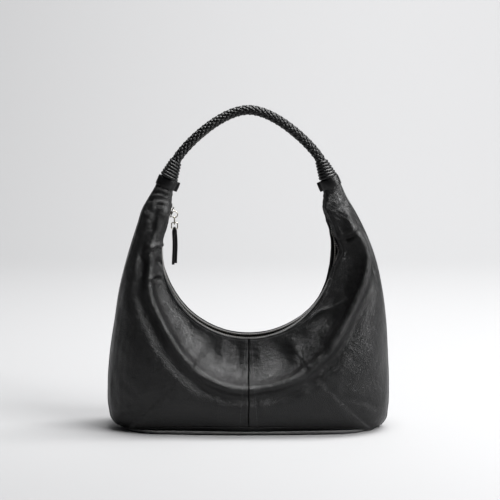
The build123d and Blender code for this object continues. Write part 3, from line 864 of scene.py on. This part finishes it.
class Tree:
    """A Geometry Nodes tree that is built up step by step."""

    def __init__(self, name, **sockets):
        self.group = bpy.data.node_groups.new(name, "GeometryNodeTree")
        self.group.interface.new_socket("Path", in_out="INPUT", socket_type="NodeSocketGeometry")
        for socket, value in sockets.items():
            kind = "NodeSocketInt" if isinstance(value, int) else "NodeSocketFloat"
            made = self.group.interface.new_socket(socket, in_out="INPUT", socket_type=kind)
            made.default_value = value
        self.group.interface.new_socket("Result", in_out="OUTPUT", socket_type="NodeSocketGeometry")
        self.inputs = self.group.nodes.new("NodeGroupInput").outputs

    def node(self, kind, *values, **settings):
        """A node with settings, and its inputs set or linked in order. None leaves one alone."""
        made = self.group.nodes.new(kind)
        for setting, value in settings.items():
            setattr(made, setting, value)
        free = [socket for socket in made.inputs if socket.enabled]
        for socket, value in zip(free, values):
            if isinstance(value, bpy.types.NodeSocket):
                self.group.links.new(value, socket)
            elif value is not None:
                socket.default_value = value
        return made

    def link(self, made, **sockets):
        """Links sockets to the inputs of a node, by name."""
        for name, value in sockets.items():
            self.group.links.new(value, made.inputs[name.replace("_", " ")])

    def math(self, operation, *values):
        """A number from one or two others."""
        return self.node("ShaderNodeMath", *values, operation=operation).outputs[0]

    def finish(self, geometry, material):
        """Realizes the instances, sets the material and ends the tree."""
        real = self.node("GeometryNodeRealizeInstances", geometry).outputs[0]
        painted = self.node("GeometryNodeSetMaterial", real)
        painted.inputs["Material"].default_value = material
        end = self.group.nodes.new("NodeGroupOutput")
        self.group.links.new(painted.outputs[0], end.inputs[0])
        return self.group


def bake(name, group, path, material, **values):
    """Runs a node tree on a path of points in millimetres and keeps the result as a plain mesh."""
    mesh = bpy.data.meshes.new(f"{name}_path")
    edges = [(index, index + 1) for index in range(len(path) - 1)]
    mesh.from_pydata((np.asarray(path) * MM).tolist(), edges, [])
    source = bpy.data.objects.new(f"{name}_path", mesh)
    bpy.context.scene.collection.objects.link(source)
    modifier = source.modifiers.new("nodes", "NODES")
    modifier.node_group = group
    for item in group.interface.items_tree:
        if item.in_out == "INPUT" and item.name in values:
            modifier[item.identifier] = values[item.name]
    depsgraph = bpy.context.evaluated_depsgraph_get()
    result = bpy.data.meshes.new_from_object(source.evaluated_get(depsgraph))
    source.modifiers.remove(modifier)
    bpy.data.objects.remove(source)
    if not result.materials:
        result.materials.append(material)
    piece = bpy.data.objects.new(name, result)
    bpy.context.scene.collection.objects.link(piece)
    print(name, "faces:", len(result.polygons))
    return piece


def along_path_tree(name, shape, material, **sockets):
    """A tree that puts a small shape at even steps along a path. shape(tree) makes it, long in X."""
    tree = Tree(name, Step=0.003, **sockets)
    curve = tree.node("GeometryNodeMeshToCurve", tree.inputs["Path"]).outputs[0]
    even = tree.node("GeometryNodeResampleCurve", curve, mode="LENGTH")
    tree.link(even, Length=tree.inputs["Step"])
    tangent = tree.node("GeometryNodeInputTangent").outputs[0]
    turned = tree.node("FunctionNodeAlignRotationToVector", axis="X")
    tree.link(turned, Vector=tangent)
    placed = tree.node("GeometryNodeInstanceOnPoints")
    tree.link(placed, Points=even.outputs[0])
    tree.link(placed, Instance=shape(tree))
    tree.link(placed, Rotation=turned.outputs[0])
    return tree.finish(placed.outputs[0], material)


def stitch_shape(tree):
    """A stitch: a small stretched ball of thread."""
    ball = tree.node("GeometryNodeMeshUVSphere", 8, 5, 0.5)
    length, thickness = tree.inputs["Length"], tree.inputs["Thickness"]
    size = tree.node("ShaderNodeCombineXYZ", length, thickness, thickness)
    shaped = tree.node("GeometryNodeTransform", ball.outputs[0])
    tree.link(shaped, Scale=size.outputs[0])
    smooth = tree.node("GeometryNodeSetShadeSmooth", shaped.outputs[0])
    return smooth.outputs[0]


def tooth_shape(tree):
    """A zip tooth: a block that grips the tape, with a rounded nose."""
    block = tree.node("GeometryNodeMeshCube", (1.3 * MM, 1.9 * MM, 1.7 * MM)).outputs[0]
    nose = tree.node("GeometryNodeMeshUVSphere", 8, 6, 0.85 * MM).outputs[0]
    joined = tree.node("GeometryNodeJoinGeometry")
    tree.group.links.new(block, joined.inputs[0])
    tree.group.links.new(nose, joined.inputs[0])
    return joined.outputs[0]


stitch_tree = along_path_tree("stitches", stitch_shape, thread_finish, Length=0.0024, Thickness=0.0006)
teeth_tree = along_path_tree("teeth", tooth_shape, teeth_metal)

# %% [markdown]
# The teeth stand in two rows that stay apart for the whole length, because the zip is open. Two rows of
# topstitching hold the seam allowance flat beside the centre seam, and one row runs along each lip.

# %% Teeth and stitches
STITCH_SIDE = 3.6
LIP_STITCH = 3.4
STITCH_STEP = 0.0032
TOOTH_STEP = 0.003


def tooth_path(face):
    """The line of one row of teeth, short of the stops at both ends."""
    end = ZIP_SWEEP - 0.035
    turn = np.linspace(-end, end, 200)
    return mouth_point(turn, face * tooth_gap(turn), TAPE_DEPTH)


TEETH = {}
for face_name, face in FACES.items():
    row = bake(f"{face_name}_teeth_row", teeth_tree, tooth_path(face), teeth_metal, Step=TOOTH_STEP)
    TEETH[f"{face_name}_zip_teeth"] = row


def surface_line(station, share, side, face, lift):
    """A line of points just above the leather."""
    nudge = 0.4 * np.array([-1, 0, 1])
    along_station = np.ptp(station) > np.ptp(share)
    station_grid = station[:, None] + (0 * nudge if along_station else nudge)[None, :]
    share_grid = share[:, None] + (0.004 * nudge if along_station else 0 * nudge)[None, :]
    points = leather_points(station_grid, share_grid, side, face)
    normals = grid_normals(points)[:, 1]
    if np.sum(normals[:, 1] * face) < 0:
        normals = -normals
    return points[:, 1] + normals * lift


def join(name, pieces):
    """One object from several."""
    with bpy.context.temp_override(active_object=pieces[0], selected_editable_objects=pieces):
        bpy.ops.object.join()
    pieces[0].name = name
    return pieces[0]


def panel_stitches(side_name, side, face_name, face):
    """The topstitching on one panel: beside the centre seam and along the lip."""
    share = np.linspace(0.02, float(seam_share(np.array([STITCH_SIDE]), side)[0]) - 0.012, 120)
    centre = surface_line(np.full(120, STITCH_SIDE), share, side, face, 0.12)
    station = np.linspace(STITCH_SIDE, MOUTH_LENGTH - 4, 260)
    lip = surface_line(station, LIP_STITCH / slice_length(station, side), side, face, 0.1)
    name = f"{face_name}_{side_name}_stitching"
    rows = []
    for kind, line in (("seam", centre), ("lip", lip)):
        rows.append(bake(f"{name}_{kind}", stitch_tree, line, thread_finish, Step=STITCH_STEP))
    return join(name, rows)


STITCHING = []
for side_name, side in SIDES.items():
    for face_name, face in FACES.items():
        STITCHING.append(panel_stitches(side_name, side, face_name, face))

# %% [markdown]
# ## The handle
# The handle is a rope core with flat leather strands plaited round it. Half of the strands wind one way
# and half the other, and each goes over one and under the next. In Geometry Nodes, one centre line is
# copied once for each strand, and each copy is pushed out to its own helix, a little further where it is on
# top.

# %% The handle's centre line
WRAP_TOP = COLLAR_FOOT + 37.0 * LEG_LEAN
CROWN_PULL = 38.0
SHOULDER_PULL = 18.0


def handle_line(start, count=220):
    """The braid's centre line from the left leg to the right, from a distance above the collar's foot."""
    leg = COLLAR_FOOT + start * LEG_LEAN
    u = np.linspace(0, 1, count // 2)[:, None]
    apex = np.array([0.0, HANDLE_TOP])
    bend = [WRAP_TOP, WRAP_TOP + SHOULDER_PULL * LEG_LEAN, apex + (CROWN_PULL, 0), apex]
    curve = (1 - u) ** 3 * bend[0] + 3 * (1 - u) ** 2 * u * bend[1]
    curve = curve + 3 * (1 - u) * u ** 2 * bend[2] + u ** 3 * bend[3]
    straight = leg + (WRAP_TOP - leg) * np.linspace(0, 1, 40)[:-1, None]
    half = np.concatenate([straight, curve])
    left = np.stack([-half[:, 0], 0 * half[:, 0], half[:, 1]], axis=1)
    right = np.stack([half[:-1, 0][::-1], 0 * half[:-1, 0], half[:-1, 1][::-1]], axis=1)
    return np.concatenate([left, right])


# %% The plait
STRANDS = 12
STRAND_PITCH = 49.0


def plait_tree(material):
    """Strands of a round plait about a path in a plane across Y."""
    tree = Tree(
        "plait", Strands=STRANDS, Pitch=STRAND_PITCH * MM, Radius=0.0050, Rise=0.0011,
        Width=0.0043, Thickness=0.0015,
    )
    strands = tree.inputs["Strands"]
    curve = tree.node("GeometryNodeMeshToCurve", tree.inputs["Path"]).outputs[0]
    even = tree.node("GeometryNodeResampleCurve", curve, mode="LENGTH")
    even.inputs["Length"].default_value = 0.0012
    copies = tree.node("GeometryNodeDuplicateElements", even.outputs[0], None, strands, domain="SPLINE")
    index = copies.outputs["Duplicate Index"]
    way = tree.math("MULTIPLY_ADD", tree.math("MODULO", index, 2.0), 2.0)
    way.node.inputs[2].default_value = -1.0
    pair = tree.math("FLOOR", tree.math("DIVIDE", index, 2.0))
    along = tree.node("GeometryNodeSplineParameter").outputs["Length"]
    turn = tree.math("MULTIPLY", tree.math("DIVIDE", along, tree.inputs["Pitch"]), 2 * math.pi)
    half = tree.math("DIVIDE", strands, 2.0)
    phase = tree.math("MULTIPLY", tree.math("DIVIDE", pair, half), 2 * math.pi)
    angle = tree.math("ADD", tree.math("MULTIPLY", turn, way), phase)
    over = tree.math("MULTIPLY", tree.math("COSINE", tree.math("MULTIPLY", turn, half)), way)
    radius = tree.math("ADD", tree.inputs["Radius"], tree.math("MULTIPLY", over, tree.inputs["Rise"]))
    tangent = tree.node("GeometryNodeInputTangent").outputs[0]
    side = tree.node("ShaderNodeVectorMath", tangent, (0, 1, 0), operation="CROSS_PRODUCT").outputs[0]
    out = tree.node("ShaderNodeVectorMath", side, operation="SCALE")
    tree.link(out, Scale=tree.math("COSINE", angle))
    sideways = tree.node("ShaderNodeCombineXYZ", None, tree.math("SINE", angle)).outputs[0]
    radial = tree.node("ShaderNodeVectorMath", out.outputs[0], sideways, operation="ADD").outputs[0]
    kept = tree.node("GeometryNodeCaptureAttribute", domain="POINT")
    kept.capture_items.new("VECTOR", "Radial")
    tree.group.links.new(copies.outputs[0], kept.inputs[0])
    tree.group.links.new(radial, kept.inputs[1])
    shift = tree.node("ShaderNodeVectorMath", kept.outputs[1], operation="SCALE")
    tree.link(shift, Scale=radius)
    moved = tree.node("GeometryNodeSetPosition", kept.outputs[0])
    tree.link(moved, Offset=shift.outputs[0])
    faced = tree.node("GeometryNodeSetCurveNormal", moved.outputs[0], mode="FREE")
    tree.link(faced, Normal=kept.outputs[1])
    circle = tree.node("GeometryNodeCurvePrimitiveCircle", mode="RADIUS")
    circle.inputs["Resolution"].default_value = 10
    circle.inputs["Radius"].default_value = 0.5
    size = tree.node("ShaderNodeCombineXYZ", tree.inputs["Thickness"], tree.inputs["Width"], 1.0).outputs[0]
    flat = tree.node("GeometryNodeTransform", circle.outputs[0])
    tree.link(flat, Scale=size)
    solid = tree.node("GeometryNodeCurveToMesh")
    tree.link(solid, Curve=faced.outputs[0])
    tree.link(solid, Profile_Curve=flat.outputs[0])
    solid.inputs["Fill Caps"].default_value = True
    return tree.finish(solid.outputs[0], material)


braid = bake("plaited_handle", plait_tree(strap_leather), handle_line(14.0), strap_leather)

# %% [markdown]
# ## Wraps and collars
# Where the plait meets a neck, a round lace is wound over it in a cone of turns, and a leather collar
# closes the neck below. The lace is a spiral curve with a round section. The collar is a band whose two
# ends meet in a small sewn flange on the inner side.

# %% Wraps
WRAP_LACE = 4.4
WRAP_TURNS = 5.6
WRAP_START = 14.6


def leg_matrix(distance, side):
    """Places a piece that stands on Z onto a leg of the handle, at a distance above the collar's foot."""
    x, z = (COLLAR_FOOT + distance * LEG_LEAN) * MM
    lean = math.atan2(LEG_LEAN[0], LEG_LEAN[1])
    return Matrix.Translation((side * x, 0, z)) @ Matrix.Rotation(side * lean, 4, "Y")


SPIRAL = {"Rotations": "Turns", "Start Radius": "Foot", "End Radius": "Top", "Height": "Height"}


def wrap_tree(material):
    """A lace of round section on a cone of turns."""
    tree = Tree("lace_wrap", Turns=WRAP_TURNS, Foot=0.0106, Top=0.0062, Height=0.0225, Lace=WRAP_LACE * MM)
    spiral = tree.node("GeometryNodeCurveSpiral", 40)
    for socket, value in SPIRAL.items():
        tree.group.links.new(tree.inputs[value], spiral.inputs[socket])
    circle = tree.node("GeometryNodeCurvePrimitiveCircle", mode="RADIUS")
    circle.inputs["Resolution"].default_value = 12
    tree.link(circle, Radius=tree.math("DIVIDE", tree.inputs["Lace"], 2.0))
    solid = tree.node("GeometryNodeCurveToMesh")
    tree.link(solid, Curve=spiral.outputs[0])
    tree.link(solid, Profile_Curve=circle.outputs[0])
    solid.inputs["Fill Caps"].default_value = True
    smooth = tree.node("GeometryNodeSetShadeSmooth", solid.outputs[0])
    return tree.finish(smooth.outputs[0], material)


lace_wrap = wrap_tree(strap_leather)
WRAPS = {}
for side_name, side in SIDES.items():
    wrap = bake(f"{side_name}_lace_wrap", lace_wrap, [(0, 0, 0), (1, 0, 0)], strap_leather)
    wrap.data.transform(leg_matrix(WRAP_START, side))
    WRAPS[side_name] = wrap

# %% Collars
COLLAR_WIDTH = 27.0
COLLAR_DEPTH = 19.8
COLLAR_HEIGHT = 13.0
COLLAR_WALL = 1.3
FLANGE_REACH = 3.6
FLANGE_HALF = 1.7
FLANGE_TURN = 0.34                     # half of the angle over which the flange leaves the oval
COLLAR_POINTS = 96


def collar_outline(inset):
    """The collar seen along the leg: an oval with a flange on its inner side."""
    turn = np.linspace(0, 2 * math.pi, COLLAR_POINTS, endpoint=False)
    x = (COLLAR_WIDTH / 2 - inset) * np.cos(turn)
    y = (COLLAR_DEPTH / 2 - inset) * np.sin(turn)
    reach = np.clip(1 - (np.abs(turn - math.pi) / FLANGE_TURN), 0, 1) ** 0.45
    x = x - (FLANGE_REACH - 0.4 * inset) * reach
    near = np.abs(turn - math.pi) < FLANGE_TURN
    half = FLANGE_HALF - 0.5 * inset
    y = np.where(near, np.clip(y, -half, half), y)
    return np.stack([x, y], axis=1)


def collar_piece(side_name, side):
    """A band with soft edges, its outline carried up the leg."""
    rows = [
        (0.0, 0.55), (0.25, 0.2), (0.8, 0.0), (COLLAR_HEIGHT * 0.5, -0.15), (COLLAR_HEIGHT - 0.8, 0.0),
        (COLLAR_HEIGHT - 0.25, 0.2), (COLLAR_HEIGHT, 0.55),
    ]
    count = COLLAR_POINTS
    loops = [np.column_stack([collar_outline(inset), np.full(count, height)]) for height, inset in rows]
    turn = np.linspace(0, 2 * math.pi, count, endpoint=False)
    hole_x = (COLLAR_WIDTH / 2 - COLLAR_WALL) * np.cos(turn)
    hole_y = (COLLAR_DEPTH / 2 - COLLAR_WALL) * np.sin(turn)
    for height in (COLLAR_HEIGHT - 0.2, 0.2):
        loops.append(np.column_stack([hole_x, hole_y, np.full(count, height)]))
    faces = grid_faces(len(loops), count, wrap=True)
    last = (len(loops) - 1) * count
    for index in range(count):
        after = (index + 1) % count
        faces.append((last + index, last + after, after, index))
    vertices = np.concatenate(loops)
    vertices[:, 0] *= side
    piece = make_object(f"{side_name}_collar_band", vertices, faces, strap_leather)
    piece.data.transform(leg_matrix(0.0, side))
    return outward(piece)


COLLARS = {name: collar_piece(name, side) for name, side in SIDES.items()}
print("collars:", list(COLLARS))

# %% [markdown]
# ## The pull
# The zip's pull is a leather lace, folded through the link and pinched into a knot. Its two tails hang
# side by side, one a little longer.

# %% The lace
LACE_LOW, LACE_HIGH = box_mm("pull_lace")
EYE_RADIUS = 1.75
EYE_POINTS = 26


def ribbon(points, widths, thickness):
    """A flat strip along a line, as wide along X as the line's direction allows."""
    points = np.asarray(points, float)
    tangent = np.gradient(points, axis=0)
    tangent /= np.linalg.norm(tangent, axis=1, keepdims=True)
    across = np.array([1.0, 0.0, 0.0])
    across = across - tangent * (tangent @ across)[:, None]
    across /= np.linalg.norm(across, axis=1, keepdims=True)
    up = np.cross(tangent, across)
    section = [(-1, -0.55), (-0.8, -1), (0.8, -1), (1, -0.55), (1, 0.55), (0.8, 1), (-0.8, 1), (-1, 0.55)]
    loops = [points + across * (widths[:, None] * a / 2) + up * (thickness * b / 2) for a, b in section]
    grid = np.stack(loops, axis=1)
    count = len(section)
    faces = grid_faces(len(points), count, wrap=True)
    faces.append(tuple(range(count)))
    last = (len(points) - 1) * count
    faces.append(tuple(range(last + count - 1, last - 1, -1)))
    return grid.reshape(-1, 3), faces


def lace_piece():
    """The folded lace: an eye, a knot and two tails."""
    middle_x = (LACE_LOW[0] + LACE_HIGH[0]) / 2
    top, bottom = LACE_HIGH[2], LACE_LOW[2]
    eye_turn = np.linspace(-0.35 * math.pi, 1.35 * math.pi, EYE_POINTS)
    eye_z = top - 2.6 + EYE_RADIUS * np.sin(eye_turn)
    eye = np.stack([np.full(EYE_POINTS, middle_x), EYE_RADIUS * np.cos(eye_turn), eye_z], axis=1)
    parts = [ribbon(eye, np.full(EYE_POINTS, 3.3), 1.3)]
    knot_z = np.linspace(top - 3.6, top - 11.0, 18)
    for y in (-1.0, 1.0):
        knot = np.stack([np.full(18, middle_x), np.full(18, y), knot_z], axis=1)
        widths = 5.4 + 1.2 * np.sin(np.linspace(0, math.pi, 18))
        parts.append(ribbon(knot, widths, 1.9))
    for side, reach in ((-1, 0.0), (1, 1.8)):
        z = np.linspace(top - 9.0, bottom + reach, 40)
        u = np.linspace(0, 1, 40)
        x = middle_x + side * (1.5 + 0.22 * u) + 0.5 * np.sin(1.4 * math.pi * u)
        y = 0.75 * side + 0.2 * np.sin(1.7 * math.pi * u)
        parts.append(ribbon(np.stack([x, y, z], axis=1), np.full(40, 3.6), 1.35))
    vertices, faces, offset = [], [], 0
    for points, loops in parts:
        vertices.append(points)
        faces += [tuple(index + offset for index in face) for face in loops]
        offset += len(points)
    return outward(make_object("pull_lace_leather", np.concatenate(vertices), faces, strap_leather))


lace = lace_piece()
print("lace faces:", len(lace.data.polygons))

# %% [markdown]
# ## Studio
# The stage is one sheet of pale paper that lies on the floor and curves up behind the bag, so there is no
# horizon. The main light and a weaker one beside it stand on the right, two dim ones fill in from above and
# one lights the paper behind. The world is dim, so the black leather stays black and only its folds catch
# the light.

# %% Stage
PAPER_FRONT = -4000.0
PAPER_BACK = 1500.0
PAPER_CURVE = 1500.0
PAPER_TOP = 5000.0
PAPER_HALF_WIDTH = 6000.0
PAPER_PALE = -0.42
PAPER_DARK = -0.95


def paper_sheet():
    """The floor, the curve and the wall as one sheet."""
    turn = np.linspace(0, math.pi / 2, 25)
    line = [(PAPER_FRONT, 0.0)]
    line += [(PAPER_BACK + PAPER_CURVE * math.sin(t), PAPER_CURVE * (1 - math.cos(t))) for t in turn]
    line += [(PAPER_BACK + PAPER_CURVE, PAPER_TOP)]
    vertices = [(x, y, z) for y, z in line for x in (-PAPER_HALF_WIDTH, PAPER_HALF_WIDTH)]
    return make_object("paper", vertices, grid_faces(len(line), 2), paper_finish)


def paper_paint():
    """Pale paper that gives way to a darker studio floor in front of the bag."""
    finish = Finish("paper", (0.5, 0.5, 0.5), 0.85)
    depth = finish.node("ShaderNodeSeparateXYZ", Vector=finish.place).outputs["Y"]
    share = finish.ramp(depth, PAPER_DARK, PAPER_PALE, 0.0, 1.0)
    finish.colours(share, (0.04, 0.04, 0.04), (0.30, 0.30, 0.304), 0.0, 1.0)
    return finish.material


paper_finish = paper_paint()
paper_sheet()

# %% Camera and lights
TARGET = Vector((0.002, 0.0, 0.2416))
CAMERA_RISE = math.radians(8)
CAMERA_DISTANCE = 2.2
LENS = 118.8


def look_at(thing, place, target):
    """Puts a camera or a light at a place and points it at a target."""
    thing.location = place
    thing.rotation_euler = (Vector(target) - Vector(place)).to_track_quat("-Z", "Y").to_euler()
    bpy.context.scene.collection.objects.link(thing)


def soft_light(name, place, size, power, target):
    """A rectangular soft light."""
    data = bpy.data.lights.new(name, "AREA")
    data.shape = "RECTANGLE"
    data.size, data.size_y = size
    data.energy = power
    look_at(bpy.data.objects.new(name, data), place, target)


camera_data = bpy.data.cameras.new("camera")
camera_data.lens = LENS
camera = bpy.data.objects.new("camera", camera_data)
view = Vector((0, -math.cos(CAMERA_RISE), math.sin(CAMERA_RISE)))
look_at(camera, TARGET + CAMERA_DISTANCE * view, TARGET)
bpy.context.scene.camera = camera
world = bpy.data.worlds.new("studio")
world.use_nodes = True
world.node_tree.nodes["Background"].inputs["Color"].default_value = (0.9, 0.95, 1.0, 1)
world.node_tree.nodes["Background"].inputs["Strength"].default_value = 0.035
bpy.context.scene.world = world
bpy.context.scene.view_settings.view_transform = "Standard"
# name, place, size, power, target
LIGHTS = [
    ("key", (1.0, -0.8, 1.5), (0.75, 0.75), 33, (0, 0, 0.15)),
    ("overhead", (0.3, -0.1, 1.9), (1.1, 0.7), 9, (0, 0, 0.15)),
    ("side", (1.6, -0.65, 0.7), (0.4, 0.8), 21, (0, 0, 0.2)),
    ("top", (-0.3, 0.5, 2.2), (1.8, 1.4), 8, (0, 0.3, 0.0)),
    ("wall", (0.8, 0.2, 2.6), (2.4, 1.0), 240, (0, 2.6, 1.0)),
]
for light in LIGHTS:
    soft_light(*light)
print("studio ready")

# %% [markdown]
# ## Ride the frame
# Each soft piece but the four wall panels rides the body that it belongs to and takes the place of the plain
# solid there. The wall panels are not attached to a body; they take the place of the plain panels and necks.

# %% Ride and replace
SLOTS = {"facing": "bag_leather", "lining": "lining_cloth", "tape": "zip_tape", "teeth": "zip_metal"}


def ride(piece, body, slot, *nodes):
    """A piece that moves with a body and takes the place of nodes. The slot is not used."""
    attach(piece, body)
    for node in nodes:
        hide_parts(node)


for quarter, piece in QUARTERS.items():
    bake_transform(piece)
    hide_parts(f"{quarter}_panel")
    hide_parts(f"{quarter.split('_')[1]}_neck")
ride(base_leather, "bag", "bag_leather", "base_panel")
for node, piece in {**INNER, **TAPES, **TEETH}.items():
    ride(piece, "bag", SLOTS[node.split("_")[-1]], node)
for piece in STITCHING:
    ride(piece, "bag", "bag_leather")
ride(braid, "handle", "braid_leather", "handle_braid")
for side_name in ("left", "right"):
    ride(WRAPS[side_name], "handle", "wrap_lace", f"{side_name}_wrap")
    ride(COLLARS[side_name], "handle", "collar_leather", f"{side_name}_collar")
ride(lace, "lace", "pull_leather", "pull_lace")

FINISHES = {
    # The handle's rope core wears the dark finish that paints the shade between the strands.
    "base_board": board_finish, "handle_core": rope_painted_shade_finish,
    "left_neck_tab": bag_leather, "right_neck_tab": bag_leather,
    "zip_bottom_stop": teeth_metal, "zip_top_stops": teeth_metal,
    "zip_slider": pull_metal, "zip_puller": pull_metal, "pull_link": pull_metal,
}
for node, finish in FINISHES.items():
    for place in frame["nodes"][node].material_slots:
        place.material = finish
print("finished frame nodes:", sorted(FINISHES))
